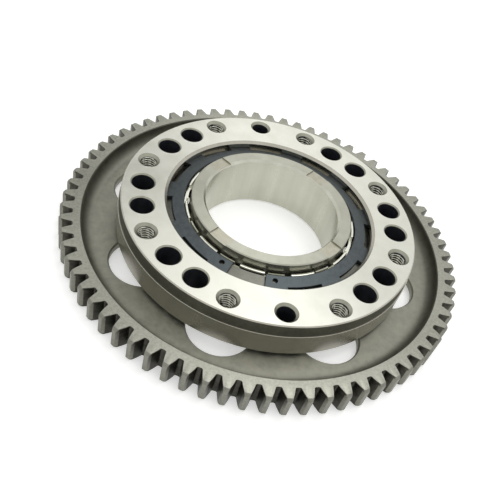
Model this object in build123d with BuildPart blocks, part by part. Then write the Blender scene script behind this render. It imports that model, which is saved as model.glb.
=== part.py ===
from build123d import *
import math
import os

# Starter sprag clutch: a spur gear with a hardened hub as inner race, an outer race with a bolt
# flange, and between them a ring of sprags held in two cages and sprung by a ribbon.
# Millimetres. The axis is Z, the gear's back face lies on z = 0, and the bolt flange faces up.

# ---- Gear teeth -------------------------------------------------------------------------------
MODULE = 2.0
TOOTH_COUNT = 71
PRESSURE_ANGLE = 20.0
GEAR_WIDTH = 9.0
TOOTH_PHASE = 1.96          # angle of one tooth's centre line from +X
TOOTH_BACKLASH = 0.10       # thinning of each tooth at the pitch circle
DEDENDUM = 1.25             # root depth below the pitch circle, in modules
ROOT_FILLET = 0.55
TIP_CHAMFER = 0.8

# ---- Gear web ---------------------------------------------------------------------------------
RIM_WALL = 2.9              # rim under the roots of the teeth
WEB_TOP = 4.0
WEB_THICKNESS = 3.0
WEB_CORNER = 4.0            # sweep of the web into the rim on the flange side
RIM_BACK_LAND = 2.0         # the rim's back face reaches this far inside the rim's inner edge
WEB_BACK_CORNER = 0.8
BOLT_CIRCLE_R = 47.5        # shared by the bolt holes, the dowel holes and the web holes
WEB_HOLE_COUNT = 8
WEB_HOLE_R = 11.0
WEB_HOLE_CHAMFER = 0.5
BOSS_MARGIN = 2.5           # web between the hub's boss and the web holes

# ---- Hub, which is the inner race -------------------------------------------------------------
INNER_RACE_R = 28.88
BORE_R = 24.0
HUB_HEIGHT = 20.0
BORE_CHAMFER = 0.8
HUB_EDGE = 0.35
SLOT_COUNT = 4
SLOT_WIDTH = 7.3
SLOT_DEPTH = 0.5
SLOT_PHASE = 43.6

# ---- Outer race -------------------------------------------------------------------------------
OUTER_RACE_R = 37.2135
RACE_BOTTOM = 5.2
RACE_HEIGHT = 13.3
RACE_BODY_R = 53.6          # lower band
RACE_BAND_R = 53.3          # foot of the tapered upper band
RACE_TOP_R = 53.0           # head of the tapered upper band
BAND_HEIGHT = 4.5
RACE_EDGE = 0.35
MOUTH_WIDTH = 0.9           # lead-in chamfer at the top of the sprag track
MOUTH_DEPTH = 0.9
SHOULDER_WIDTH = 1.6
SHOULDER_HEIGHT = 0.8

# ---- Holes through the outer race -------------------------------------------------------------
BOLT_COUNT = 8
BOLT_R = 2.5                # tap drill of the M6 thread
BOLT_SINK_R = 3.9
FIRST_BOLT_ANGLE = 22.5
DOWEL_R = 3.15
DOWEL_SINK_R = 4.0
DOWEL_ANGLES = (90.0, 270.0)
RELIEF_CIRCLE_R = 46.0
RELIEF_R = 4.0
RELIEF_SINK_R = 4.45
RELIEF_PAIR_ANGLES = (0.0, 45.0, -45.0)   # middle of each pair, on both halves of the ring
RELIEF_HALF_STEP = 7.5

# ---- Dished retaining ring --------------------------------------------------------------------
RING_WIDTH_SHARE = 0.734    # ring inside the race bore, as a share of the sprag space
RING_THICKNESS = 1.2
RING_DROP = 1.4             # flange face down to the ring's raised inner edge
RING_DISH = 1.2             # fall of the ring from its inner edge to the race bore
RING_BITE = 0.9             # how far the ring stands in its groove
GROOVE_PLAY = 0.15
RING_GAP = 21.2
RING_GAP_ANGLE = 251.0
RING_TAB_COUNT = 11         # the ring's gap takes the place of one notch between tabs
RING_TAB_ARC = 12.7
RING_BAND_SHARE = 0.68      # unbroken inner band of the ring, as a share of its width
RING_EAR_STEP = 5.4         # plier hole from the ring's end, round the axis
RING_EAR_SHARE = 0.34       # plier hole from the ring's inner edge, as a share of its width
RING_EAR_HOLE_R = 0.95

# ---- Cages ------------------------------------------------------------------------------------
CAGE_SHEET = 0.8
CAGE_PLAY = 0.1             # cage to race bore, and cage to shoulder and ring
OUTER_CAGE_SHARE = 0.133    # race bore to the outer cage's wall, as a share of the sprag space
INNER_CAGE_SHARE = 0.101    # hub to the inner cage's wall, likewise
CAGE_WALL_SHARE = 0.132
CREST_DROP = 1.7            # flange face down to the inner cage's crests
CREST_STEP = 0.5            # crests stand this far over the lands between them
CREST_ARC = 15.8
LAND_ARC = 10.8
LAND_SHIFT = -1.0           # land's middle from the middle between two crests
LAND_WALL_SHARE = 0.45      # thinned wall at the lands, as a share of the cage's wall
NOTCH_DEPTH = 1.4
CREST_ROUND_SHARE = 0.364   # rounding of the crests, as a share of the wall

# ---- Sprags and ribbon spring -----------------------------------------------------------------
SPRAG_COUNT = 22
FIRST_SPRAG_ANGLE = 252.8
SPRAG_PLAY = 0.0275         # each cam to its race
SPRAG_OFFSET_SHARE = 0.084  # each cam's centre from the sprag's radial line, in cam radii
SPRAG_OUTER_SHARE = 0.627   # half widths of the sprag's outer head, inner head and waist,
SPRAG_INNER_SHARE = 0.554   # in cam radii
SPRAG_WAIST_SHARE = 0.41
SPRAG_LENGTH = 6.4
SPRAG_END_PLAY = 0.1
WINDOW_PLAY = 0.35
SPRING_SHEET = 0.3
SPRING_RAIL = 0.55
SPRING_PLAY = 0.2

# ---- Sizes worked out from those above --------------------------------------------------------
PITCH_R = MODULE * TOOTH_COUNT / 2
TIP_R = PITCH_R + MODULE
ROOT_R = PITCH_R - DEDENDUM * MODULE
BASE_R = PITCH_R * math.cos(math.radians(PRESSURE_ANGLE))
RIM_INNER_R = ROOT_R - RIM_WALL
RACE_TOP = RACE_BOTTOM + RACE_HEIGHT
SHOULDER_TOP = RACE_BOTTOM + SHOULDER_HEIGHT
MEAN_R = (INNER_RACE_R + OUTER_RACE_R) / 2
SPRAG_SPACE = OUTER_RACE_R - INNER_RACE_R
BOSS_R = BOLT_CIRCLE_R - WEB_HOLE_R - BOSS_MARGIN
BACK_RECESS_R = RIM_INNER_R - RIM_BACK_LAND
MOUTH_R = OUTER_RACE_R + MOUTH_WIDTH
RING_WIDTH = RING_WIDTH_SHARE * SPRAG_SPACE
RING_INNER_R = OUTER_RACE_R - RING_WIDTH
RING_EAR_R = RING_INNER_R + RING_EAR_SHARE * RING_WIDTH
RING_NOTCH_R = RING_INNER_R + RING_BAND_SHARE * RING_WIDTH
RING_TAB_STEP = 360.0 / RING_TAB_COUNT
CAGE_WALL = CAGE_WALL_SHARE * SPRAG_SPACE
OUTER_CAGE_R = OUTER_RACE_R - OUTER_CAGE_SHARE * SPRAG_SPACE
INNER_CAGE_R = INNER_RACE_R + INNER_CAGE_SHARE * SPRAG_SPACE
CREST_ROUND = CREST_ROUND_SHARE * CAGE_WALL
CAM_R = SPRAG_SPACE / 2 - SPRAG_PLAY
SPRAG_OFFSET = SPRAG_OFFSET_SHARE * CAM_R
SPRAG_OUTER_HALF = SPRAG_OUTER_SHARE * CAM_R
SPRAG_INNER_HALF = SPRAG_INNER_SHARE * CAM_R
SPRAG_WAIST_HALF = SPRAG_WAIST_SHARE * CAM_R
SPRAG_STEP = 360.0 / SPRAG_COUNT
CREST_COUNT = SPRAG_COUNT // 2
CAGE_BOTTOM = SHOULDER_TOP + CAGE_PLAY
WINDOW_BOTTOM = CAGE_BOTTOM + CAGE_SHEET
SPRAG_BOTTOM = WINDOW_BOTTOM + SPRAG_END_PLAY
SPRAG_TOP = SPRAG_BOTTOM + SPRAG_LENGTH
WINDOW_TOP = SPRAG_TOP + SPRAG_END_PLAY
WINDOW_HEIGHT = WINDOW_TOP - WINDOW_BOTTOM
SPRAG_ANGLES = [FIRST_SPRAG_ANGLE + SPRAG_STEP * index for index in range(SPRAG_COUNT)]


def section_plane(angle):
    """Half plane through the axis: its x is the radius and its y is the height."""
    x = math.cos(math.radians(angle))
    y = math.sin(math.radians(angle))
    return Plane(origin=(0, 0, 0), x_dir=(x, y, 0), z_dir=(y, -x, 0))


def circle_edges(part, radius, height):
    """Whole or broken circular edges about the axis at one radius and height."""
    def is_wanted(edge):
        centre = edge.arc_center
        on_axis = math.hypot(centre.X, centre.Y) < 1e-3
        return on_axis and abs(edge.radius - radius) < 1e-3 and abs(centre.Z - height) < 1e-3
    return part.edges().filter_by(GeomType.CIRCLE).filter_by(is_wanted)


def ring_top(radius):
    """Height of the dished retaining ring's upper face at a radius."""
    fall = (radius - RING_INNER_R) * RING_DISH / RING_WIDTH
    return RACE_TOP - RING_DROP - fall


def sector(middle, arc, radius):
    """Wedge of the plane between two rays from the axis, wide enough to cross a circle."""
    reach = 1.1 * radius
    ends = [math.radians(middle + side * arc / 2) for side in (-1, 1)]
    corners = [(reach * math.cos(end), reach * math.sin(end)) for end in ends]
    with BuildSketch(mode=Mode.PRIVATE) as wedge:
        with BuildLine():
            Polyline((0, 0), corners[0], corners[1], close=True)
        make_face()
    return wedge.sketch


# ---- Starter gear: teeth, rim, web and hub in one forging ---------------------------------------
def involute_point(radius, side):
    """Point of a tooth gap's flank at a radius, for a gap centred on +X."""
    def involute(angle):
        return math.tan(angle) - angle
    half_tooth = math.pi / (2 * TOOTH_COUNT) - TOOTH_BACKLASH / (2 * PITCH_R)
    roll = involute(math.radians(PRESSURE_ANGLE)) - involute(math.acos(BASE_R / radius))
    half_gap = math.pi / TOOTH_COUNT - half_tooth - roll
    return (radius * math.cos(half_gap), side * radius * math.sin(half_gap))


def tooth_gap():
    """Space between two teeth, with rounded roots, open past the tips."""
    over_tip = TIP_R + TIP_CHAMFER
    with BuildSketch() as gap:
        with BuildLine():
            ThreePointArc(involute_point(over_tip, -1), involute_point(PITCH_R, -1),
                          involute_point(ROOT_R, -1))
            ThreePointArc(involute_point(ROOT_R, -1), (ROOT_R, 0), involute_point(ROOT_R, 1))
            ThreePointArc(involute_point(ROOT_R, 1), involute_point(PITCH_R, 1),
                          involute_point(over_tip, 1))
            Line(involute_point(over_tip, 1), involute_point(over_tip, -1))
        make_face()
        fillet(gap.vertices().group_by(Axis.X)[0], ROOT_FILLET)
    return gap.sketch


GAP_SKETCH = tooth_gap()
FIRST_GAP_ANGLE = TOOTH_PHASE + 180.0 / TOOTH_COUNT
WEB_BOTTOM = WEB_TOP - WEB_THICKNESS

with BuildPart() as starter_gear:
    with BuildSketch() as rim_ring:
        Circle(TIP_R)
    extrude(amount=GEAR_WIDTH)
    chamfer(starter_gear.edges().filter_by(GeomType.CIRCLE), TIP_CHAMFER)
    with BuildSketch(Plane.XY.offset(WEB_TOP)) as front_recess:
        Circle(RIM_INNER_R)
    extrude(amount=GEAR_WIDTH - WEB_TOP, mode=Mode.SUBTRACT)
    with BuildSketch() as back_recess:
        Circle(BACK_RECESS_R)
        Circle(BOSS_R, mode=Mode.SUBTRACT)
    extrude(amount=WEB_BOTTOM, mode=Mode.SUBTRACT)
    fillet(circle_edges(starter_gear, RIM_INNER_R, WEB_TOP), WEB_CORNER)
    fillet(circle_edges(starter_gear, BACK_RECESS_R, WEB_BOTTOM), WEB_BACK_CORNER)
    fillet(circle_edges(starter_gear, BOSS_R, WEB_BOTTOM), WEB_BACK_CORNER)
    with BuildSketch() as hub:
        Circle(INNER_RACE_R)
    extrude(amount=HUB_HEIGHT)
    chamfer(circle_edges(starter_gear, INNER_RACE_R, HUB_HEIGHT), HUB_EDGE)
    Hole(BORE_R)
    chamfer(circle_edges(starter_gear, BORE_R, HUB_HEIGHT), BORE_CHAMFER)
    chamfer(circle_edges(starter_gear, BORE_R, 0), BORE_CHAMFER)
    with BuildSketch(Plane.XY.offset(WEB_BOTTOM)) as web_holes:
        with PolarLocations(BOLT_CIRCLE_R, WEB_HOLE_COUNT, start_angle=FIRST_BOLT_ANGLE):
            Circle(WEB_HOLE_R)
    extrude(amount=WEB_THICKNESS, mode=Mode.SUBTRACT)
    chamfer(starter_gear.edges().filter_by(GeomType.CIRCLE)
            .filter_by(lambda edge: abs(edge.radius - WEB_HOLE_R) < 1e-3), WEB_HOLE_CHAMFER)
    with Locations((0, 0, HUB_HEIGHT)):
        with PolarLocations((BORE_R + INNER_RACE_R) / 2, SLOT_COUNT, start_angle=SLOT_PHASE):
            Box(2 * (INNER_RACE_R - BORE_R), SLOT_WIDTH, 2 * SLOT_DEPTH, mode=Mode.SUBTRACT)
    with BuildSketch() as tooth_gaps:
        with PolarLocations(0, TOOTH_COUNT, start_angle=FIRST_GAP_ANGLE):
            add(GAP_SKETCH)
    extrude(amount=GEAR_WIDTH, mode=Mode.SUBTRACT)


# ---- Outer race: bolt flange outside, sprag track inside ----------------------------------------
GROOVE_R = OUTER_RACE_R + RING_BITE + GROOVE_PLAY
GROOVE_TOP = ring_top(OUTER_RACE_R) + GROOVE_PLAY
GROOVE_BOTTOM = ring_top(OUTER_RACE_R + RING_BITE) - RING_THICKNESS - GROOVE_PLAY
BAND_FOOT = RACE_TOP - BAND_HEIGHT
RELIEF_ANGLES = [half + middle + side for half in (0.0, 180.0) for middle in RELIEF_PAIR_ANGLES
                 for side in (-RELIEF_HALF_STEP, RELIEF_HALF_STEP)]


def on_circle(radius, angles, height):
    """Places on a circle about the axis, at the angles given."""
    return [Location((radius * math.cos(math.radians(angle)),
                      radius * math.sin(math.radians(angle)), height)) for angle in angles]


with BuildPart() as outer_race:
    with BuildSketch(Plane.XZ) as race_section:
        with BuildLine():
            Polyline((OUTER_RACE_R - SHOULDER_WIDTH, RACE_BOTTOM),
                     (RACE_BODY_R, RACE_BOTTOM),
                     (RACE_BODY_R, BAND_FOOT),
                     (RACE_BAND_R, BAND_FOOT),
                     (RACE_TOP_R, RACE_TOP),
                     (MOUTH_R, RACE_TOP),
                     (OUTER_RACE_R, RACE_TOP - MOUTH_DEPTH),
                     (OUTER_RACE_R, GROOVE_TOP),
                     (GROOVE_R, GROOVE_TOP),
                     (GROOVE_R, GROOVE_BOTTOM),
                     (OUTER_RACE_R, GROOVE_BOTTOM),
                     (OUTER_RACE_R, SHOULDER_TOP),
                     (OUTER_RACE_R - SHOULDER_WIDTH, SHOULDER_TOP),
                     close=True)
        make_face()
    revolve(axis=Axis.Z)
    chamfer(circle_edges(outer_race, RACE_BODY_R, RACE_BOTTOM), RACE_EDGE)
    chamfer(circle_edges(outer_race, RACE_TOP_R, RACE_TOP), RACE_EDGE)
    with Locations((0, 0, RACE_TOP)):
        with PolarLocations(BOLT_CIRCLE_R, BOLT_COUNT, start_angle=FIRST_BOLT_ANGLE):
            CounterSinkHole(BOLT_R, BOLT_SINK_R, counter_sink_angle=90)
    with Locations(on_circle(BOLT_CIRCLE_R, DOWEL_ANGLES, RACE_TOP)):
        CounterSinkHole(DOWEL_R, DOWEL_SINK_R, counter_sink_angle=90)
    with Locations(on_circle(RELIEF_CIRCLE_R, RELIEF_ANGLES, RACE_TOP)):
        CounterSinkHole(RELIEF_R, RELIEF_SINK_R, counter_sink_angle=90)


# ---- Retaining ring: dished spring steel, split, with two plier holes and tabs in the groove -----
RING_OUTER_R = OUTER_RACE_R + RING_BITE
RING_START = RING_GAP_ANGLE + RING_GAP / 2

with BuildPart() as retaining_ring:
    with BuildSketch(section_plane(RING_START)) as ring_section:
        with BuildLine():
            Polyline((RING_INNER_R, ring_top(RING_INNER_R)),
                     (RING_INNER_R, ring_top(RING_INNER_R) - RING_THICKNESS),
                     (RING_OUTER_R, ring_top(RING_OUTER_R) - RING_THICKNESS),
                     (RING_OUTER_R, ring_top(RING_OUTER_R)),
                     close=True)
        make_face()
    revolve(axis=Axis.Z, revolution_arc=360 - RING_GAP)
    with BuildSketch() as ring_notches:
        with PolarLocations(0, RING_TAB_COUNT, start_angle=RING_GAP_ANGLE):
            add(sector(0, RING_TAB_STEP - RING_TAB_ARC, RING_OUTER_R))
        Circle(RING_NOTCH_R, mode=Mode.SUBTRACT)
    extrude(amount=RACE_TOP, mode=Mode.SUBTRACT)
    ear_turn = RING_GAP / 2 + RING_EAR_STEP
    ear_angles = (RING_GAP_ANGLE - ear_turn, RING_GAP_ANGLE + ear_turn)
    with Locations(on_circle(RING_EAR_R, ear_angles, ring_top(RING_EAR_R))):
        Hole(RING_EAR_HOLE_R, depth=2 * RING_THICKNESS)


# ---- Outer cage: windowed wall with a dished flange under the retaining ring ---------------------
FLANGE_R = OUTER_RACE_R - CAGE_PLAY
OUTER_WALL_INSIDE = OUTER_CAGE_R - CAGE_WALL


def flange_top(radius):
    """Height of the outer cage's flange under the retaining ring at a radius."""
    return ring_top(radius) - RING_THICKNESS - CAGE_PLAY


with BuildPart() as outer_cage:
    with BuildSketch(Plane.XZ) as outer_cage_section:
        with BuildLine():
            Polyline((OUTER_CAGE_R, CAGE_BOTTOM),
                     (OUTER_CAGE_R, flange_top(OUTER_CAGE_R) - CAGE_SHEET),
                     (FLANGE_R, flange_top(FLANGE_R) - CAGE_SHEET),
                     (FLANGE_R, flange_top(FLANGE_R)),
                     (RING_INNER_R, flange_top(RING_INNER_R)),
                     (RING_INNER_R, flange_top(RING_INNER_R) - CAGE_SHEET),
                     (OUTER_WALL_INSIDE, flange_top(OUTER_WALL_INSIDE) - CAGE_SHEET),
                     (OUTER_WALL_INSIDE, CAGE_BOTTOM),
                     close=True)
        make_face()
    revolve(axis=Axis.Z)
    with Locations((0, 0, (WINDOW_BOTTOM + WINDOW_TOP) / 2)):
        with PolarLocations(OUTER_CAGE_R - CAGE_WALL / 2, SPRAG_COUNT,
                            start_angle=FIRST_SPRAG_ANGLE):
            Box(2 * CAGE_WALL, 2 * (SPRAG_OUTER_HALF + WINDOW_PLAY), WINDOW_HEIGHT,
                mode=Mode.SUBTRACT)


# ---- Inner cage: windowed wall whose top edge has rounded crests and lower, thinner lands --------
CREST_TOP = RACE_TOP - CREST_DROP
LAND_TOP = CREST_TOP - CREST_STEP
NOTCH_FLOOR = LAND_TOP - NOTCH_DEPTH
INNER_WALL_OUTSIDE = INNER_CAGE_R + CAGE_WALL
LAND_OUTSIDE = INNER_CAGE_R + LAND_WALL_SHARE * CAGE_WALL
CREST_SPACE = sector(0, 360.0 / CREST_COUNT - CREST_ARC, INNER_WALL_OUTSIDE)
LAND = sector(LAND_SHIFT, LAND_ARC, INNER_WALL_OUTSIDE) & Circle(LAND_OUTSIDE)
FIRST_SPACE_ANGLE = FIRST_SPRAG_ANGLE + SPRAG_STEP

with BuildPart() as inner_cage:
    with BuildSketch(Plane.XY.offset(CAGE_BOTTOM)) as inner_wall:
        Circle(INNER_WALL_OUTSIDE)
        Circle(INNER_CAGE_R, mode=Mode.SUBTRACT)
    extrude(amount=CREST_TOP - CAGE_BOTTOM)
    fillet(inner_cage.faces().sort_by(Axis.Z)[-1].edges(), CREST_ROUND)
    with BuildSketch(Plane.XY.offset(NOTCH_FLOOR)) as notches:
        with PolarLocations(0, CREST_COUNT, start_angle=FIRST_SPACE_ANGLE):
            add(CREST_SPACE)
            add(LAND, mode=Mode.SUBTRACT)
    extrude(amount=CREST_TOP - NOTCH_FLOOR, mode=Mode.SUBTRACT)
    with BuildSketch(Plane.XY.offset(LAND_TOP)) as over_lands:
        with PolarLocations(0, CREST_COUNT, start_angle=FIRST_SPACE_ANGLE):
            add(CREST_SPACE)
    extrude(amount=CREST_TOP - LAND_TOP, mode=Mode.SUBTRACT)
    with Locations((0, 0, (WINDOW_BOTTOM + WINDOW_TOP) / 2)):
        with PolarLocations(INNER_CAGE_R + CAGE_WALL / 2, SPRAG_COUNT,
                            start_angle=FIRST_SPRAG_ANGLE):
            Box(2 * CAGE_WALL, 2 * (SPRAG_INNER_HALF + WINDOW_PLAY), WINDOW_HEIGHT,
                mode=Mode.SUBTRACT)


# ---- Ribbon spring: thin band round the sprags' waists -------------------------------------------
with BuildPart() as ribbon_spring:
    with BuildSketch(Plane.XY.offset(WINDOW_BOTTOM - SPRING_RAIL)) as band:
        Circle(MEAN_R + SPRING_SHEET / 2)
        Circle(MEAN_R - SPRING_SHEET / 2, mode=Mode.SUBTRACT)
    extrude(amount=WINDOW_HEIGHT + 2 * SPRING_RAIL)
    with Locations((0, 0, (WINDOW_BOTTOM + WINDOW_TOP) / 2)):
        with PolarLocations(MEAN_R, SPRAG_COUNT, start_angle=FIRST_SPRAG_ANGLE):
            Box(4 * SPRING_SHEET, 2 * (SPRAG_WAIST_HALF + SPRING_PLAY), WINDOW_HEIGHT,
                mode=Mode.SUBTRACT)


# ---- Sprags: two offset cams joined by a waist ---------------------------------------------------

def cam_point(side, along):
    """Point of a cam's arc: side is 1 for the outer cam and -1 for the inner one."""
    return (side * math.sqrt(CAM_R ** 2 - (along + side * SPRAG_OFFSET) ** 2), along)


def sprag(angle):
    """One sprag at rest on both races; its local x is radial and its y is tangential."""
    x = math.cos(math.radians(angle))
    y = math.sin(math.radians(angle))
    seat = Plane(origin=(MEAN_R * x, MEAN_R * y, SPRAG_BOTTOM), x_dir=(x, y, 0), z_dir=(0, 0, 1))
    with BuildPart() as body:
        with BuildSketch(seat):
            with BuildLine():
                ThreePointArc(cam_point(1, -SPRAG_OUTER_HALF), cam_point(1, 0),
                              cam_point(1, SPRAG_OUTER_HALF))
                ThreePointArc(cam_point(1, SPRAG_OUTER_HALF), (0, SPRAG_WAIST_HALF),
                              cam_point(-1, SPRAG_INNER_HALF))
                ThreePointArc(cam_point(-1, SPRAG_INNER_HALF), cam_point(-1, 0),
                              cam_point(-1, -SPRAG_INNER_HALF))
                ThreePointArc(cam_point(-1, -SPRAG_INNER_HALF), (0, -SPRAG_WAIST_HALF),
                              cam_point(1, -SPRAG_OUTER_HALF))
            make_face()
        extrude(amount=SPRAG_LENGTH)
    return body.part


# ---- Write every piece ---------------------------------------------------------------------------
os.makedirs("parts", exist_ok=True)

starter_gear.part.label = "starter_gear"
export_step(starter_gear.part, "parts/starter_gear.step")
outer_race.part.label = "outer_race"
export_step(outer_race.part, "parts/outer_race.step")
retaining_ring.part.label = "retaining_ring"
export_step(retaining_ring.part, "parts/retaining_ring.step")
outer_cage.part.label = "outer_cage"
export_step(outer_cage.part, "parts/outer_cage.step")
inner_cage.part.label = "inner_cage"
export_step(inner_cage.part, "parts/inner_cage.step")
ribbon_spring.part.label = "ribbon_spring"
export_step(ribbon_spring.part, "parts/ribbon_spring.step")
for number, sprag_angle in enumerate(SPRAG_ANGLES, start=1):
    piece = sprag(sprag_angle)
    piece.label = f"sprag_{number:02d}"
    export_step(piece, f"parts/sprag_{number:02d}.step")
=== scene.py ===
import bmesh
import bpy
import math
import numpy as np
from mathutils import Matrix


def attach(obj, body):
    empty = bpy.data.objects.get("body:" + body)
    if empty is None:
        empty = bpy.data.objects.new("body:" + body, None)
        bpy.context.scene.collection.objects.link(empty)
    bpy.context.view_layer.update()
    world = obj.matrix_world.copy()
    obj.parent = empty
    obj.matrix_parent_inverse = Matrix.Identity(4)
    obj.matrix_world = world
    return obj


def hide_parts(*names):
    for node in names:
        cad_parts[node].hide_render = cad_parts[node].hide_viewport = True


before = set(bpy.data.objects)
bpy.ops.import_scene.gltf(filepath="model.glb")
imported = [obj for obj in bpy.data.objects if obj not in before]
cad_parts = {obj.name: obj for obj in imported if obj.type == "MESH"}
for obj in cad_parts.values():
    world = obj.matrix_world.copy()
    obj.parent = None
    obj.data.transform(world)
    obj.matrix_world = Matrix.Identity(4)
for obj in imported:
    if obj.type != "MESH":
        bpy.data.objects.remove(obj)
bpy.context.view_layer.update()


# ---- Studio: white paper in a white tent, two softboxes, and a grey card at the back -------------
# The clutch lies on its back on the paper. Turned and ground steel shows what stands round it: the
# tent gives each finish its own colour, the softboxes draw bright fans across the turned faces,
# and the grey card dims what the left half of them mirrors.
def linear(hex_code):
    """An sRGB hex colour as linear red, green, blue and alpha."""
    parts = [int(hex_code[i:i + 2], 16) / 255 for i in (1, 3, 5)]
    parts = [p / 12.92 if p <= 0.04045 else ((p + 0.055) / 1.055) ** 2.4 for p in parts]
    return (*parts, 1.0)


def add_node(tree, kind, inputs=None, **settings):
    """A node with its settings, and each input either linked to a socket or given a value."""
    made = tree.nodes.new(kind)
    for name, value in settings.items():
        setattr(made, name, value)
    for name, value in (inputs or {}).items():
        if isinstance(value, bpy.types.NodeSocket):
            tree.links.new(value, made.inputs[name])
        else:
            made.inputs[name].default_value = value
    return made


camera = bpy.data.objects.new("camera", bpy.data.cameras.new("camera"))
camera.data.lens = 47.4
camera.data.sensor_width = 36.0
camera.data.shift_x = 0.025
camera.data.shift_y = 0.072
camera.data.clip_start = 0.01
camera.matrix_world = Matrix((
    (0.9771, -0.0881, -0.1938, -0.0547),
    (-0.0614, 0.7550, -0.6529, -0.1724),
    (0.2039, 0.6498, 0.7322, 0.1687),
    (0, 0, 0, 1)))
bpy.context.scene.collection.objects.link(camera)
bpy.context.scene.camera = camera
bpy.context.scene.view_settings.view_transform = "Standard"

table_size = 4.0
table = bpy.data.meshes.new("white_table")
half = table_size / 2
table.from_pydata([(-half, -half, 0), (half, -half, 0), (half, half, 0), (-half, half, 0)],
                  [], [(0, 1, 2, 3)])
table_object = bpy.data.objects.new("white_table", table)
bpy.context.scene.collection.objects.link(table_object)

# The paper takes the clutch's shadow; what looks at it, mirrors it or looks through to it sees
# it as white.
paper = bpy.data.materials.new("white_paper")
paper.use_nodes = True
tree = paper.node_tree
tree.nodes.clear()
diffuse = add_node(tree, "ShaderNodeBsdfDiffuse", {"Color": linear("#e9e9e7")})
rays = add_node(tree, "ShaderNodeLightPath")
looked = add_node(tree, "ShaderNodeMath", {0: rays.outputs["Is Camera Ray"],
                                           1: rays.outputs["Is Glossy Ray"]}, operation="MAXIMUM")
seen = add_node(tree, "ShaderNodeMath", {0: looked.outputs[0],
                                         1: rays.outputs["Is Transmission Ray"]},
                operation="MAXIMUM")
lift = add_node(tree, "ShaderNodeMath", {0: seen.outputs[0], 1: 0.42}, operation="MULTIPLY")
glow = add_node(tree, "ShaderNodeEmission", {"Color": (1, 1, 1, 1), "Strength": lift.outputs[0]})
both = add_node(tree, "ShaderNodeAddShader", {0: diffuse.outputs[0], 1: glow.outputs[0]})
add_node(tree, "ShaderNodeOutputMaterial", {"Surface": both.outputs[0]})
table.materials.append(paper)

# The tent is white to the camera, in mirrors and through glass, and lights the rest a little less.
room = bpy.data.worlds.new("white_tent")
bpy.context.scene.world = room
room.use_nodes = True
tree = room.node_tree
tree.nodes.clear()
rays = add_node(tree, "ShaderNodeLightPath")
looked = add_node(tree, "ShaderNodeMath", {0: rays.outputs["Is Camera Ray"],
                                           1: rays.outputs["Is Glossy Ray"]}, operation="MAXIMUM")
seen = add_node(tree, "ShaderNodeMath", {0: looked.outputs[0],
                                         1: rays.outputs["Is Transmission Ray"]},
                operation="MAXIMUM")
level = add_node(tree, "ShaderNodeMapRange", {"Value": seen.outputs[0], "To Min": 0.8,
                                              "To Max": 1.0})
tent = add_node(tree, "ShaderNodeBackground", {"Color": (1, 1, 1, 1), "Strength": level.outputs[0]})
add_node(tree, "ShaderNodeOutputWorld", {"Surface": tent.outputs[0]})


def facing(place, aim):
    """Matrix of a flat thing that stands at a place with its -Z side towards a point."""
    way = np.array(aim, float) - np.array(place, float)
    way /= np.linalg.norm(way)
    side = np.cross(way, (0.0, 1.0, 0.0001))
    side /= np.linalg.norm(side)
    up = np.cross(side, way)
    turn = Matrix(np.column_stack((side, up, -way)).tolist()).to_4x4()
    turn.translation = place
    return turn


def softbox(name, place, size, watts):
    """A square area light at a place, facing the clutch."""
    lamp = bpy.data.lights.new(name, "AREA")
    lamp.shape = "SQUARE"
    lamp.size = size
    lamp.energy = watts
    holder = bpy.data.objects.new(name, lamp)
    holder.matrix_world = facing(place, (0.0, 0.0, 0.0))
    bpy.context.scene.collection.objects.link(holder)


softbox("overhead_softbox", (0.24, 0.12, 0.90), 0.50, 1.9)
softbox("back_softbox", (0.12, 0.55, 0.72), 0.30, 0.25)


def card(name, place, width, height, tone):
    """A flat card at a place, facing the clutch. It shows in mirrors but not to the camera."""
    mesh = bpy.data.meshes.new(name)
    corners = np.array([(-1, -1, 0, 1), (1, -1, 0, 1), (1, 1, 0, 1), (-1, 1, 0, 1)], float)
    corners *= (width / 2, height / 2, 1, 1)
    turn = np.array(facing(place, (0.0, 0.0, 0.0)))
    mesh.from_pydata((corners @ turn.T)[:, :3].tolist(), [], [(0, 1, 2, 3)])
    felt = bpy.data.materials.new(name + "_felt")
    felt.use_nodes = True
    tree = felt.node_tree
    tree.nodes.clear()
    diffuse = add_node(tree, "ShaderNodeBsdfDiffuse", {"Color": linear(tone)})
    add_node(tree, "ShaderNodeOutputMaterial", {"Surface": diffuse.outputs[0]})
    mesh.materials.append(felt)
    holder = bpy.data.objects.new(name, mesh)
    holder.visible_camera = False
    bpy.context.scene.collection.objects.link(holder)


card("grey_card", (-0.12, 0.70, 0.52), 0.34, 0.26, "#a8a8a8")


# ---- Starter gear: shot-blasted forging with hobbed teeth, and the turned and ground hub ---------
# One steel forging. The web and the inside of the rim are blasted to a matt grey, the rim's face
# is turned and the teeth are hobbed. The hub, which is the clutch's inner race, is ground.
MM = 0.001
around = 480                       # steps round the axis, 0.75 degree each
module = 2.0
teeth = 71
pressure_angle = math.radians(20.0)
backlash = 0.10
pitch_r = module * teeth / 2
tip_r = pitch_r + module
root_r = pitch_r - 1.25 * module
base_r = pitch_r * math.cos(pressure_angle)
tooth_phase = math.radians(1.96)
gear_width = 9.0
tip_chamfer = 0.8
edge_break = 0.14                  # deburred edges of the teeth
root_fillet = 0.55
flank_start = 0.10                 # first flank point under the tooth's tip
tip_land_end = 0.12                # the tip's land ends this far before the flank
tip_skin = 0.2                     # the tips' finish reaches this far below their chamfer
rim_inner_r = 65.6
rim_break = 0.3
rim_join_out = 67.4                # the toothed outline and the round rim are zipped together
rim_join_in = 66.4                 # between these two radii, which lie under the teeth
web_top = 4.0
web_bottom = 1.0
web_corner = 4.0
back_recess_r = 63.6
boss_r = 34.0
back_corner = 0.8
hole_circle_r = 47.5
web_hole_r = 11.0
web_hole_chamfer = 0.5
hole_count = 8
hole_step = 360.0 / hole_count
first_hole = 22.5
hub_r = 28.88
bore_r = 24.0
hub_top = 20.0
bore_chamfer = 0.8
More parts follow.
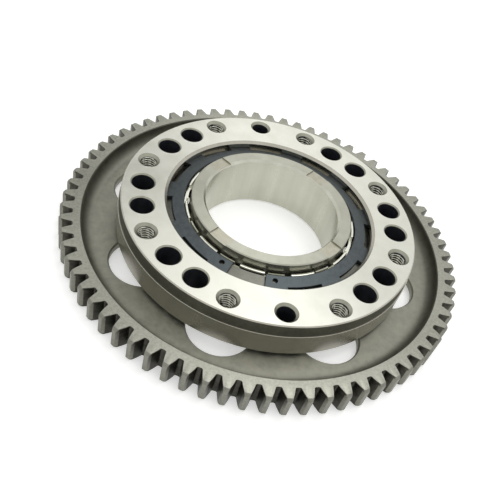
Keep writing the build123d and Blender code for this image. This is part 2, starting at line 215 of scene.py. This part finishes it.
hub_edge = 0.35
slot_half_width = 3.65
slot_depth = 0.5
slot_phase = 43.6
slot_points = 13                   # mesh points across a slot's floor, and along the land after it
land_points = 73
hub_join_top = 12.0                # the slotted hub and its round foot are zipped together between
hub_join_foot = 10.0               # these two heights, and on the back between these two radii
back_join_in = 30.0
back_join_out = 31.0


def ring(radius, height, angles):
    """Points at one radius and height, at the angles given in radians."""
    return np.column_stack((radius * np.cos(angles), radius * np.sin(angles),
                            np.full(len(angles), height)))


def lathe(profile, angles):
    """Grid of a profile of (radius, height) pairs carried round the axis."""
    return np.stack([ring(radius, height, angles) for radius, height in profile])


def zip_rings(one, other, one_angles, other_angles):
    """Triangles between two closed rings with different step counts: the steps of both rings are
    taken in the order of their middle angles, and each makes one triangle with the point that
    the other ring has reached."""
    n, m = len(one), len(other)
    middles = np.concatenate((one_angles + np.pi / n, other_angles + np.pi / m))
    order = np.argsort(middles, kind="stable")
    is_one = order < n
    reached_one = np.cumsum(is_one)
    reached_other = np.cumsum(~is_one)
    a0 = np.where(is_one, reached_one - 1, reached_one) % n
    b0 = np.where(is_one, reached_other, reached_other - 1) % m
    third = np.where(is_one, (a0 + 1) % n, n + (b0 + 1) % m)
    return np.vstack((one, other)), np.column_stack((a0, n + b0, third))


def metal_mesh(name, sheets, strips, finishes, crease=30.0):
    """One closed mesh from grids (points, closed round, finish number) and zipped strips
    (points, triangles, finish number). Shared edges are merged and normals turned outwards."""
    points, quads, tris, quad_finish, tri_finish = [], [], [], [], []
    first = 0
    for grid, closed, finish in sheets:
        rows, columns = grid.shape[:2]
        index = first + np.arange(rows * columns).reshape(rows, columns)
        if closed:
            index = np.hstack((index, index[:, :1]))
        face = np.stack((index[:-1, :-1], index[:-1, 1:], index[1:, 1:], index[1:, :-1]), -1)
        quads.append(face.reshape(-1, 4))
        quad_finish.append(np.full(len(quads[-1]), finish))
        points.append(grid.reshape(-1, 3))
        first += rows * columns
    for strip, triangles, finish in strips:
        tris.append(triangles + first)
        tri_finish.append(np.full(len(triangles), finish))
        points.append(strip)
        first += len(strip)
    faces = [f for block in quads + tris for f in block.tolist()]
    mesh = bpy.data.meshes.new(name)
    mesh.from_pydata((np.vstack(points) * MM).tolist(), [], faces)
    mesh.polygons.foreach_set("material_index",
                              np.concatenate(quad_finish + tri_finish).astype(np.int32))
    work = bmesh.new()
    work.from_mesh(mesh)
    bmesh.ops.remove_doubles(work, verts=work.verts, dist=1.5e-6)
    bmesh.ops.dissolve_degenerate(work, edges=work.edges, dist=1e-7)
    bmesh.ops.recalc_face_normals(work, faces=work.faces)
    work.to_mesh(mesh)
    work.free()
    mesh.polygons.foreach_set("use_smooth", np.ones(len(mesh.polygons), bool))
    mesh.set_sharp_from_angle(angle=math.radians(crease))
    for finish in finishes:
        mesh.materials.append(finish)
    piece = bpy.data.objects.new(name, mesh)
    bpy.context.scene.collection.objects.link(piece)
    return piece


def turned_uv(piece):
    """UV map of a turned piece: u runs round the axis and v is the distance from it plus the
    height, so the tool's marks run along u. A face that crosses the seam keeps its own turn."""
    mesh = piece.data
    count = len(mesh.loops)
    corner = np.empty(count, np.int32)
    mesh.loops.foreach_get("vertex_index", corner)
    places = np.empty(len(mesh.vertices) * 3)
    mesh.vertices.foreach_get("co", places)
    places = places.reshape(-1, 3)[corner]
    centres = np.empty(len(mesh.polygons) * 3)
    mesh.polygons.foreach_get("center", centres)
    totals = np.empty(len(mesh.polygons), np.int32)
    mesh.polygons.foreach_get("loop_total", totals)
    middle = np.repeat(np.arctan2(centres[1::3], centres[0::3]), totals)
    angle = np.arctan2(places[:, 1], places[:, 0])
    turn = middle + (angle - middle + np.pi) % (2 * np.pi) - np.pi
    across = np.hypot(places[:, 0], places[:, 1]) + places[:, 2]
    layer = mesh.uv_layers.new(name="turning")
    layer.data.foreach_set("uv", np.column_stack((turn / (2 * np.pi), across / 0.1)).ravel())


def outline(tip, inset):
    """Closed outline of the toothed rim in the plane, cut off at a tip radius and moved inwards by
    an inset. A flank is the involute: at a radius r the tooth's half angle is its half thickness
    at the pitch circle plus inv(20 degrees) less inv(arccos(base radius / r))."""
    def half_angle(radius):
        turn = np.arccos(np.minimum(base_r / radius, 1.0))
        inv = np.tan(turn) - turn
        at_pitch = math.tan(pressure_angle) - pressure_angle
        return math.pi / (2 * teeth) - backlash / (2 * pitch_r) + at_pitch - inv
    flank_r = np.linspace(tip - flank_start, root_r + root_fillet, 8)
    bend = np.radians([25.0, 50.0, 75.0])
    foot = half_angle(np.array([root_r + root_fillet]))[0]
    fillet_r = root_r + root_fillet * (1 - np.sin(bend))
    fillet_a = foot + root_fillet * (1 - np.cos(bend)) / root_r
    root_a = np.array([foot + root_fillet / root_r, math.pi / teeth])
    radii = np.concatenate(([tip, tip], flank_r, fillet_r, [root_r, root_r]))
    land = half_angle(np.array([tip]))[0] - tip_land_end / tip
    turns = np.concatenate(([0.0, land], half_angle(flank_r), fillet_a, root_a))
    radii = np.concatenate((radii, radii[-2:0:-1]))
    turns = np.concatenate((turns, 2 * math.pi / teeth - turns[-2:0:-1]))
    steps = np.arange(teeth)[:, None] * 2 * math.pi / teeth
    angles = (tooth_phase + steps + turns[None, :]).ravel()
    reach = np.tile(radii, teeth)
    flat = np.column_stack((reach * np.cos(angles), reach * np.sin(angles)))
    ahead = np.roll(flat, -1, 0) - flat
    ahead /= np.linalg.norm(ahead, axis=1)[:, None]
    along = ahead + np.roll(ahead, 1, 0)
    along /= np.linalg.norm(along, axis=1)[:, None]
    return flat + inset * np.column_stack((-along[:, 1], along[:, 0]))


def hole_cell(hole_angle, centre_r, hole_r, from_angle, to_angle, inner_r, outer_r, height, sides):
    """Grid between the edge of a ring's sector and a round hole in it. The edge is walked from the
    middle of its outer arc, counterclockwise, and each of its points is joined to the hole by a
    straight line; the hole's points are evenly spaced from its outermost point."""
    def arc(radius, start, end):
        count = max(1, round(abs(end - start) / (360.0 / around)))
        angles = np.radians(np.linspace(start, end, count + 1))[:-1]
        return np.column_stack((radius * np.cos(angles), radius * np.sin(angles)))

    def side(angle, start, end):
        radii = np.linspace(start, end, sides + 1)[:-1]
        turn = math.radians(angle)
        return np.column_stack((radii * math.cos(turn), radii * math.sin(turn)))
    edge = np.vstack((arc(outer_r, hole_angle, to_angle), side(to_angle, outer_r, inner_r),
                      arc(inner_r, to_angle, from_angle), side(from_angle, inner_r, outer_r),
                      arc(outer_r, from_angle, hole_angle)))
    hole = hole_ring(hole_angle, centre_r, hole_r, height, len(edge))
    share = np.linspace(0, 1, 4)[:, None, None]
    edge = np.column_stack((edge, np.full(len(edge), height)))
    return edge * (1 - share) + hole * share


def hole_ring(hole_angle, centre_r, hole_r, height, count):
    """Evenly spaced points of a hole's circle, from its point furthest from the axis."""
    turn = math.radians(hole_angle)
    angles = turn + np.arange(count) * 2 * np.pi / count
    return np.column_stack((centre_r * math.cos(turn) + hole_r * np.cos(angles),
                            centre_r * math.sin(turn) + hole_r * np.sin(angles),
                            np.full(count, height)))


def slotted_rows(rows):
    """Grid of the hub's rings. Each row is (radius on the lands, height on the lands, radius in the
    slots, height in the slots); slot edges are straight, so their angle grows towards the bore."""
    made = []
    for land_r, land_z, slot_r, slot_z in rows:
        land_edge = math.degrees(math.asin(slot_half_width / land_r))
        slot_edge = math.degrees(math.asin(slot_half_width / slot_r))
        for quarter in range(4):
            middle = slot_phase + 90.0 * quarter
            made.append(ring(slot_r, slot_z,
                             np.radians(middle + np.linspace(-slot_edge, slot_edge, slot_points))))
            land = np.linspace(land_edge, 90 - land_edge, land_points)
            made.append(ring(land_r, land_z, np.radians(middle + land)))
    return np.vstack(made).reshape(len(rows), -1, 3)


def steel_finish(name, dark, light, clouds_mm, rough, marks=0.0, drawn_out=0.0, metallic=1.0,
                 grit=0.0, lines=(14.0, 0.33), painted_shade_span=None):
    """A steel surface. Its colour and roughness wander between two values in clouds of a given
    size. Marks is the share that fine tool lines have in that: lines gives how many there are
    round the axis, and how many in each tenth of a millimetre across. Drawn_out is how far they
    stretch a reflection, grit is the depth of blasted dimples, and the shade span is the distances
    from the axis between which the surface is painted dark, a painted shade in a corner."""
    steel = bpy.data.materials.new(name)
    steel.use_nodes = True
    tree = steel.node_tree
    tree.nodes.clear()
    place = add_node(tree, "ShaderNodeTexCoord").outputs["Object"]
    clouds = add_node(tree, "ShaderNodeTexNoise", {"Vector": place, "Scale": 1000.0 / clouds_mm,
                                                   "Detail": 5.0, "Roughness": 0.62})
    wander = clouds.outputs["Fac"]
    sockets = {"Metallic": metallic}
    if marks:
        turning = add_node(tree, "ShaderNodeUVMap", uv_map="turning")
        stretch = add_node(tree, "ShaderNodeMapping", {"Vector": turning.outputs[0],
                                                       "Scale": (*lines, 1.0)})
        drawn = add_node(tree, "ShaderNodeTexNoise", {"Vector": stretch.outputs[0], "Scale": 1.0,
                                                      "Detail": 3.0})
        mixed = add_node(tree, "ShaderNodeMix", {0: marks, 2: wander, 3: drawn.outputs["Fac"]})
        wander = mixed.outputs[0]
        bump = add_node(tree, "ShaderNodeBump", {"Height": drawn.outputs["Fac"], "Strength": 0.15,
                                                 "Distance": 0.00003})
        sockets["Normal"] = bump.outputs[0]
    if drawn_out:
        way = add_node(tree, "ShaderNodeTangent", direction_type="UV_MAP", uv_map="turning")
        sockets.update({"Tangent": way.outputs[0], "Anisotropic": drawn_out,
                        "Anisotropic Rotation": 0.25})
    if grit:
        dimples = add_node(tree, "ShaderNodeTexNoise", {"Vector": place, "Scale": 2800.0,
                                                        "Detail": 2.0})
        bump = add_node(tree, "ShaderNodeBump", {"Height": dimples.outputs["Fac"],
                                                 "Strength": 0.3, "Distance": grit})
        sockets["Normal"] = bump.outputs[0]
    share = add_node(tree, "ShaderNodeMapRange", {"Value": wander, "From Min": 0.32,
                                                  "From Max": 0.68})
    tone = add_node(tree, "ShaderNodeMix", {0: share.outputs[0], 6: linear(dark),
                                            7: linear(light)}, data_type="RGBA")
    # Painted shade: across the given span of distance from the axis, the colour darkens towards a
    # dark brown-grey. This stands in for the shade in a corner.
    if painted_shade_span:
        flat = add_node(tree, "ShaderNodeVectorMath", {0: place, 1: (1, 1, 0)},
                        operation="MULTIPLY")
        reach = add_node(tree, "ShaderNodeVectorMath", {0: flat.outputs[0]}, operation="LENGTH")
        corner_shade = add_node(tree, "ShaderNodeMapRange",
                         {"Value": reach.outputs["Value"], "From Min": painted_shade_span[0] * MM,
                          "From Max": painted_shade_span[1] * MM, "To Min": 0.0, "To Max": 0.60},
                         interpolation_type="SMOOTHSTEP")
        tone = add_node(tree, "ShaderNodeMix", {0: corner_shade.outputs[0], 6: tone.outputs[2],
                                                7: linear("#2b2a25")}, data_type="RGBA")
    gloss = add_node(tree, "ShaderNodeMapRange", {"Value": share.outputs[0], "To Min": rough[0],
                                                  "To Max": rough[1]})
    sockets.update({"Base Color": tone.outputs[2], "Roughness": gloss.outputs[0]})
    shader = add_node(tree, "ShaderNodeBsdfPrincipled", sockets)
    add_node(tree, "ShaderNodeOutputMaterial", {"Surface": shader.outputs[0]})
    return steel


# 0 the blasted web, rim inside and back, painted darker towards the rim as shade in that corner,
# 1 the ground hub, 2 the rim's turned face, 3 the hobbed flanks, painted dark for the shade between
# the teeth, 4 the teeth's tips, 5 the bore, 6 the floors of the hub's slots. The dimples of
# blasting are about 0.1 mm on a real forging; they are drawn at 0.35 mm so that they show.
gear_finishes = [
    # The web is painted darker towards the rim's inner fillet, a painted shade in that corner.
    steel_finish("blasted_web_steel", "#84847a", "#959588", 2.4, (0.38, 0.50), 0.0, 0.55,
                 grit=0.00008, painted_shade_span=(60.5, 65.0)),
    steel_finish("ground_hub_steel", "#9f9f91", "#b3b3a6", 3.0, (0.26, 0.36), 0.5, 0.5),
    steel_finish("turned_rim_face_steel", "#86867b", "#a9a99e", 0.9, (0.34, 0.46), 0.35, 0.6),
    # The flanks are painted dark for the shade between the teeth.
    steel_finish("hobbed_flank_steel_painted_shade", "#35342f", "#55544c", 1.5, (0.36, 0.50)),
    steel_finish("tooth_tip_steel", "#6f6f66", "#8d8d84", 1.0, (0.34, 0.46), 0.4),
    steel_finish("honed_bore_steel", "#b3b3a5", "#cbcbbe", 9.0, (0.20, 0.30), 0.7, 0.6,
                 lines=(26.0, 0.006)),
    steel_finish("milled_slot_steel", "#a29f90", "#b2af9f", 2.0, (0.28, 0.38))]


full_turn = np.arange(around) * 2 * np.pi / around
levels = [(0.0, tip_r - tip_chamfer, edge_break), (edge_break, tip_r - tip_chamfer + edge_break, 0),
          (tip_chamfer, tip_r, 0), (gear_width - tip_chamfer, tip_r, 0),
          (gear_width - edge_break, tip_r - tip_chamfer + edge_break, 0),
          (gear_width, tip_r - tip_chamfer, edge_break)]
flanks = np.stack([np.column_stack((outline(tip, inset), np.full(len(outline(tip, inset)), z)))
                   for z, tip, inset in levels])
tooth_turns = np.arctan2(flanks[0, :, 1], flanks[0, :, 0]) % (2 * np.pi)
flanks = np.roll(flanks, -int(np.argmin(tooth_turns)), axis=1)
tooth_turns = np.arctan2(flanks[0, :, 1], flanks[0, :, 0]) % (2 * np.pi)
reach = np.hypot(flanks[..., 0], flanks[..., 1])
reach = (reach + np.roll(reach, -1, axis=1)) / 2
# Faces below the tips take the dark flank finish, which paints the shade between the teeth.
flank_finish = np.where((reach[:-1] + reach[1:]) / 2 > tip_r - tip_chamfer - tip_skin, 4, 3).ravel()
top_land = np.stack((flanks[-1], ring(rim_join_out, gear_width, tooth_turns)))
back_land = np.stack((flanks[0], ring(rim_join_out, 0.0, tooth_turns)))
sweep = np.radians(np.linspace(0, 90, 13))
rim_face = [(rim_join_in, gear_width), (rim_inner_r + rim_break, gear_width)]
rim_profile = [(rim_inner_r + rim_break, gear_width), (rim_inner_r, gear_width - rim_break),
               (rim_inner_r, web_top + web_corner)]
rim_profile += [(rim_inner_r - web_corner * (1 - math.cos(t)),
                 web_top + web_corner * (1 - math.sin(t))) for t in sweep[1:]]
small = np.radians(np.linspace(0, 90, 4))
back_profile = [(rim_join_in, 0.0), (back_recess_r, 0.0), (back_recess_r, web_bottom - back_corner)]
back_profile += [(back_recess_r - back_corner * (1 - math.cos(t)),
                  web_bottom - back_corner * (1 - math.sin(t))) for t in small[1:]]
boss_profile = [(boss_r + back_corner * (1 - math.cos(t)),
                 web_bottom - back_corner * (1 - math.sin(t))) for t in small[::-1]]
boss_profile += [(boss_r, 0.0), (back_join_out, 0.0)]
sheets = [(flanks, True, flank_finish), (top_land, True, 2), (back_land, True, 0),
          (lathe(rim_face, full_turn), True, 2), (lathe(rim_profile, full_turn), True, 0),
          (lathe(back_profile, full_turn), True, 0),
          (lathe(boss_profile, full_turn), True, 0)]
web_in, web_out = hub_r, rim_inner_r - web_corner
back_in, back_out = boss_r + back_corner, back_recess_r - back_corner
for number in range(hole_count):
    middle = first_hole + hole_step * number
    start, end = middle - hole_step / 2, middle + hole_step / 2
    sink_r = web_hole_r + web_hole_chamfer
    top = hole_cell(middle, hole_circle_r, sink_r, start, end, web_in, web_out, web_top, 40)
    back = hole_cell(middle, hole_circle_r, sink_r, start, end, back_in, back_out, web_bottom, 40)
    count = top.shape[1]
    wall = np.stack([hole_ring(middle, hole_circle_r, radius, height, count)
                     for radius, height in ((sink_r, web_top),
                                            (web_hole_r, web_top - web_hole_chamfer),
                                            (web_hole_r, web_bottom + web_hole_chamfer),
                                            (sink_r, web_bottom))])
    sheets += [(top, True, 0), (back, True, 0), (wall, True, 0)]
slot_floor = hub_top - slot_depth
hub_grid = slotted_rows([
    (hub_r, hub_join_top, hub_r, hub_join_top), (hub_r, hub_top - hub_edge, hub_r, slot_floor),
    (hub_r - hub_edge, hub_top, hub_r - hub_edge, slot_floor),
    (bore_r + bore_chamfer, hub_top, bore_r + bore_chamfer - slot_depth, slot_floor),
    (bore_r, hub_top - bore_chamfer, bore_r, hub_top - bore_chamfer),
    (bore_r, bore_chamfer, bore_r, bore_chamfer),
    (bore_r + bore_chamfer, 0, bore_r + bore_chamfer, 0), (back_join_in, 0.0, back_join_in, 0.0)])
hub_turns = np.arctan2(hub_grid[0, :, 1], hub_grid[0, :, 0]) % (2 * np.pi)
hub_start = int(np.argmin(hub_turns))
hub_grid = np.roll(hub_grid, -hub_start, axis=1)
in_slot = np.tile(np.arange(slot_points + land_points) < slot_points, 4)
in_slot = np.roll(in_slot & np.roll(in_slot, -1), -hub_start)
no_slot = np.zeros_like(in_slot)
top_finish = np.where(np.vstack((no_slot, no_slot, in_slot)), 6, 1).ravel()
sheets += [(hub_grid[:4], True, top_finish), (hub_grid[3:7], True, 5), (hub_grid[6:], True, 0),
           (lathe([(hub_r, web_top), (hub_r, hub_join_foot)], full_turn), True, 1)]
strips = []
for one, other, finish in ((top_land[-1], ring(rim_join_in, gear_width, full_turn), 2),
                           (back_land[-1], ring(rim_join_in, 0.0, full_turn), 0),
                           (hub_grid[0], ring(hub_r, hub_join_foot, full_turn), 1),
                           (hub_grid[-1], ring(back_join_out, 0.0, full_turn), 1)):
    turns = np.arctan2(one[:, 1], one[:, 0]) % (2 * np.pi)
    strip, triangles = zip_rings(one, other, turns, full_turn)
    strips.append((strip, triangles, finish))
gear = metal_mesh("gear_forging", sheets, strips, gear_finishes)
turned_uv(gear)
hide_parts("starter_gear")
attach(gear, "gear")


# ---- Outer race: ground flange face, tapped holes, turned rim and the sprag track inside ---------
# Bearing steel ring, hardened. Its face is ground to a near-white sheen, the rim's upper band is a
# turned taper painted darker for the shade it shows, and eight holes are tapped M6 through from a
# 90 degree countersink.
race_top = 18.5
race_bottom = 5.2
race_top_r = 53.0
race_band_r = 53.3
race_body_r = 53.6
band_foot = 14.0
race_edge = 0.35
track_r = 37.2135
mouth_r = 38.1135
mouth_depth = 0.9
groove_r = 38.2635
groove_top = 16.05
groove_bottom = 14.37
underside_margin = 0.4             # plain underside between the groove's radius and the holes
foot_break = 0.1
shoulder_r = 35.6135
shoulder_top = 6.0
bolt_major_r = 3.0
bolt_minor_r = 2.5
bolt_pitch = 1.0
rows_per_pitch = 7
run_out = 0.35                     # height over which the thread fades at each end
shaded_root_share = 0.55                  # share of the thread's depth past which its roots are painted dark, a painted shade
bolt_sink_r = 3.9
dowel_r = 3.15
dowel_sink_r = 4.0
relief_circle_r = 46.0
relief_r = 4.0
relief_sink_r = 4.45
relief_half_step = 7.5             # relief holes stand in pairs, this far each side of the middle


def thread_wall(angle, count, top_z, bottom_z):
    """Wall of a tapped hole: the radius swings between minor and major once for each pitch of
    height less the turn's share, which makes a right-hand helix with flattened crests. Both ends
    run out to the hole's plain edge."""
    rows = int((top_z - bottom_z) / bolt_pitch * rows_per_pitch) + 1
    heights = np.linspace(top_z, bottom_z, rows)
    turns = np.arange(count) / count
    wave = (heights[:, None] / bolt_pitch - turns[None, :]) % 1.0
    swing = np.clip(np.abs(2 * wave - 1) * 1.5 - 0.2, 0, 1)
    fade_top = np.clip((top_z - heights) / run_out, 0, 1)[:, None]
    fade_low = np.clip((heights - bottom_z) / run_out, 0, 1)[:, None]
    radii = bolt_minor_r + (bolt_major_r - bolt_minor_r) * swing
    radii = radii * fade_top + bolt_major_r * (1 - fade_top)
    radii = radii * fade_low + bolt_minor_r * (1 - fade_low)
    turn = math.radians(angle)
    spin = turn + turns * 2 * np.pi
    return np.stack((hole_circle_r * math.cos(turn) + radii * np.cos(spin)[None, :],
                     hole_circle_r * math.sin(turn) + radii * np.sin(spin)[None, :],
                     np.broadcast_to(heights[:, None], radii.shape)), -1)


# 0 the ground face, 1 turned surfaces, 2 the taper, painted dark for the shade it shows, 3 the
# plain bores, dark, and the threads' roots, painted dark for the shade in them, 4 the tapped
# threads, 5 countersinks, painted darker than the face for the shade in them.
race_finishes = [
    steel_finish("rotary_ground_steel", "#cbcbbf", "#d8d8ce", 6.0, (0.30, 0.38), 0.35, 0.7),
    steel_finish("turned_race_steel", "#a5a296", "#bab7ac", 3.0, (0.20, 0.29), 0.7, 0.5),
    # The taper is painted dark, a painted shade.
    steel_finish("taper_steel_painted_shade", "#535149", "#68685c", 1.2, (0.36, 0.46), 0.5, 0.5),
    # The plain bores are dark. The threads' roots are painted dark for the shade in them.
    steel_finish("dark_bore_and_root_shade_steel", "#22242a", "#31343c", 1.5, (0.45, 0.60), metallic=0.4),
    steel_finish("tapped_thread_steel", "#a3a395", "#b4b4a6", 6.0, (0.20, 0.26)),
    # The countersinks are painted darker than the face, a painted shade.
    steel_finish("countersunk_steel_painted_shade", "#8f8f81", "#a6a698", 3.0, (0.34, 0.46))]


holes = [(angle, "bolt") for angle in np.arange(hole_count) * hole_step + first_hole]
holes += [(90.0, "dowel"), (270.0, "dowel")]
holes += [(half_turn + middle + side, "relief") for half_turn in (0.0, 180.0)
          for middle in (0.0, 45.0, -45.0) for side in (-relief_half_step, relief_half_step)]
holes = sorted(((angle % 360.0, kind) for angle, kind in holes))
angles = [angle for angle, kind in holes]
edges = [(a + b) / 2 for a, b in zip([angles[-1] - 360.0] + angles, angles + [angles[0] + 360.0])]
top_in, top_out = mouth_r, race_top_r - race_edge
low_in, low_out = groove_r + underside_margin, race_body_r - race_edge
sheets = []
for (angle, kind), start, end in zip(holes, edges, edges[1:]):
    centre_r = relief_circle_r if kind == "relief" else hole_circle_r
    sink_r = {"bolt": bolt_sink_r, "dowel": dowel_sink_r, "relief": relief_sink_r}[kind]
    wall_r = {"bolt": bolt_major_r, "dowel": dowel_r, "relief": relief_r}[kind]
    low_r = {"bolt": bolt_minor_r, "dowel": dowel_r, "relief": relief_r}[kind]
    top = hole_cell(angle, centre_r, sink_r, start, end, top_in, top_out, race_top, 20)
    low = hole_cell(angle, centre_r, low_r, start, end, low_in, low_out, race_bottom, 20)
    count = top.shape[1]
    sink = np.stack([hole_ring(angle, centre_r, radius, race_top - (sink_r - radius), count)
                     for radius in np.linspace(sink_r, wall_r, 4)])
    if kind == "bolt":
        wall = thread_wall(angle, count, race_top - (sink_r - wall_r), race_bottom)
        middle = hole_ring(angle, centre_r, 0.0, 0.0, 1)[0, :2]
        reach = np.linalg.norm(wall[..., :2] - middle, axis=2)
        reach = (reach + np.roll(reach, -1, axis=1)) / 2
        # Thread roots deeper than this take the dark finish, a painted shade.
        shaded_root_r = bolt_minor_r + shaded_root_share * (bolt_major_r - bolt_minor_r)
        wall_finish = np.where((reach[:-1] + reach[1:]) / 2 > shaded_root_r, 3, 4).ravel()
    else:
        wall = np.stack([hole_ring(angle, centre_r, wall_r, height, count) for height
                         in (race_top - (sink_r - wall_r), race_bottom)])
        wall_finish = 3
    sheets += [(top, True, 0), (low, True, 1), (sink, True, 5), (wall, True, wall_finish)]
# The taper's band takes the finish that is painted dark for the shade it shows.
taper = (race_band_r - race_top_r) / (race_top - band_foot)
band_head = (race_top_r + race_edge * taper, race_top - race_edge)
rim = lathe([(top_out, race_top), band_head], full_turn)
band = lathe([band_head, (race_band_r, band_foot)], full_turn)
body = lathe([(race_band_r, band_foot), (race_body_r - foot_break, band_foot),
              (race_body_r, band_foot - foot_break), (race_body_r, race_bottom + race_edge),
              (low_out, race_bottom)], full_turn)
track = lathe([(mouth_r, race_top), (track_r, race_top - mouth_depth), (track_r, groove_top),
               (groove_r, groove_top), (groove_r, groove_bottom), (track_r, groove_bottom),
               (track_r, shoulder_top), (shoulder_r, shoulder_top), (shoulder_r, race_bottom),
               (low_in, race_bottom)], full_turn)
sheets += [(rim, True, 1), (band, True, 2), (body, True, 1), (track, True, 1)]
race = metal_mesh("flanged_race", sheets, [], race_finishes)
turned_uv(race)
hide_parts("outer_race")
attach(race, "race")


# ---- Retaining ring: dished split ring with eleven tabs, blanked and oil-blackened ---------------
# Spring steel. Its tabs snap into the race's groove and its inner band lies on the outer cage's
# flange. A plier hole stands near each end.
ring_in = 31.097
ring_out = 38.1135
notch_r = 35.256
ring_thickness = 1.2
ring_drop = 1.4
ring_dish = 1.2
ring_gap = 21.2
ring_gap_middle = 251.0
tab_count = 11
tab_arc = 12.7
plier_step = 5.4
plier_r = 33.177
plier_hole_r = 0.95
ear_half = 3.0                     # half of the sector that is meshed round a plier hole
ring_break = 0.12                  # tumbled edges
band_points = 8                    # mesh points across the unbroken inner band
outer_rows = slice(band_points - 1, band_points + 5)   # the section's rows beyond that band


def dished(points):
    """Lowers flat ring points onto the cone: the fall grows evenly with the distance from the
    ring's inner edge."""
    reach = np.hypot(points[..., 0], points[..., 1])
    slope = ring_dish / (track_r - ring_in)
    lowered = points.copy()
    lowered[..., 2] += race_top - ring_drop - (reach - ring_in) * slope
    return lowered


def ring_section(reach):
    """Profile of the flat ring, top side first, out to a reach and back along the underside, with
    its edges broken. Seven steps divide its inner band, as they do beside a plier hole."""
    steps = np.linspace(ring_in + ring_break, notch_r - ring_break, band_points)
    top = [(radius, 0.0) for radius in steps] + [(reach - ring_break, 0.0), (reach, -ring_break)]
    return top + [(radius, -ring_thickness - height) for radius, height in top[::-1]]


ring_from = ring_gap_middle + ring_gap / 2
ring_to = ring_gap_middle + 360 - ring_gap / 2
tab_step = 360 / tab_count
spans = []
for number in range(tab_count):
    middle = ring_gap_middle + tab_step * (number + 0.5)
    start, end = max(middle - tab_arc / 2, ring_from), min(middle + tab_arc / 2, ring_to)
    ear = {0: ring_from + plier_step, tab_count - 1: ring_to - plier_step}.get(number)
    if ear is None:
        spans.append((start, end, "tab"))
    else:
        spans += [(start, ear - ear_half, "tab"), (ear - ear_half, ear + ear_half, "ear"),
                  (ear + ear_half, end, "tab")]
    if number < tab_count - 1:
        spans.append((end, end + tab_step - tab_arc, "notch"))
inner_edge = [(ring_in + ring_break, -ring_thickness), (ring_in, ring_break - ring_thickness),
              (ring_in, -ring_break), (ring_in + ring_break, 0.0)]
sheets = []
for start, end, kind in spans:
    steps = max(1, round((end - start) / (360.0 / around)))
    span_turns = np.radians(np.linspace(start, end, steps + 1))
    grid = lathe(ring_section(notch_r if kind == "notch" else ring_out), span_turns)
    sheets.append((dished(lathe(inner_edge, span_turns)), False, 0))
    if kind == "ear":
        faces = [hole_cell((start + end) / 2, plier_r, plier_hole_r, start, end,
                           ring_in + ring_break, notch_r - ring_break, level, band_points - 1)
                 for level in (0.0, -ring_thickness)]
        sheets += [(dished(face), True, 0) for face in faces]
        sheets.append((dished(np.stack([faces[0][-1], faces[1][-1]])), True, 0))
        sheets.append((dished(grid[outer_rows]), False, 0))
    else:
        sheets.append((dished(grid), False, 0))
    if kind == "notch":
        for turn in (start, end):
            sides = [lathe(ring_section(reach)[outer_rows], np.radians([turn]))[:, 0]
                     for reach in (ring_out, notch_r)]
            sheets.append((dished(np.stack(sides)), False, 0))
for turn in (ring_from, ring_to):
    section = inner_edge[2:3] + ring_section(ring_out) + inner_edge[1:2]
    end_edge = dished(lathe(section, np.radians([turn])))[:, 0]
    half = len(end_edge) // 2
    sheets.append((np.stack((end_edge[:half], end_edge[:half - 1:-1])), False, 0))
circlip = metal_mesh("split_retaining_ring", sheets, [], [
    steel_finish("oil_blackened_spring_steel", "#454b4d", "#53595b", 1.6, (0.36, 0.48),
                 metallic=0.85)])
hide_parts("retaining_ring")
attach(circlip, "race")


# ---- Cages, ribbon spring and sprags: pressed strip and drawn bar between the two races ----------
# The two cages are deep-drawn sheet, the spring is rolled strip, and the sprags are cut from drawn
# bar and hardened. Only the inner cage's crests and the outer cage's flange are open to view.
# The outer cage is painted darker than its steel, for the shade it lies in under the retaining
# ring: a painted shade.
cage_steel = steel_finish("pressed_cage_steel_painted_shade", "#5c5c55", "#6c6c65", 3.0, (0.26, 0.36))
# The inner cage is pale like rolled strip, and lightened further for the light its rolled crests
# catch: a painted highlight.
crest_steel = steel_finish("rolled_crest_steel_and_painted_sheen", "#ddddd0", "#efefe4", 3.0, (0.16, 0.24))
spring_steel = steel_finish("spring_strip_steel", "#8f8f84", "#a5a59a", 3.0, (0.26, 0.34))
sprag_steel = steel_finish("drawn_sprag_steel", "#a8a89f", "#c4c4bb", 2.0, (0.16, 0.24))
for name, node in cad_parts.items():
    if name == "outer_cage":
        finish = cage_steel
    elif name == "inner_cage":
        finish = crest_steel
    elif name == "ribbon_spring":
        finish = spring_steel
    elif name.startswith("sprag_"):
        finish = sprag_steel
    else:
        continue
    node.data.materials.clear()
    node.data.materials.append(finish)
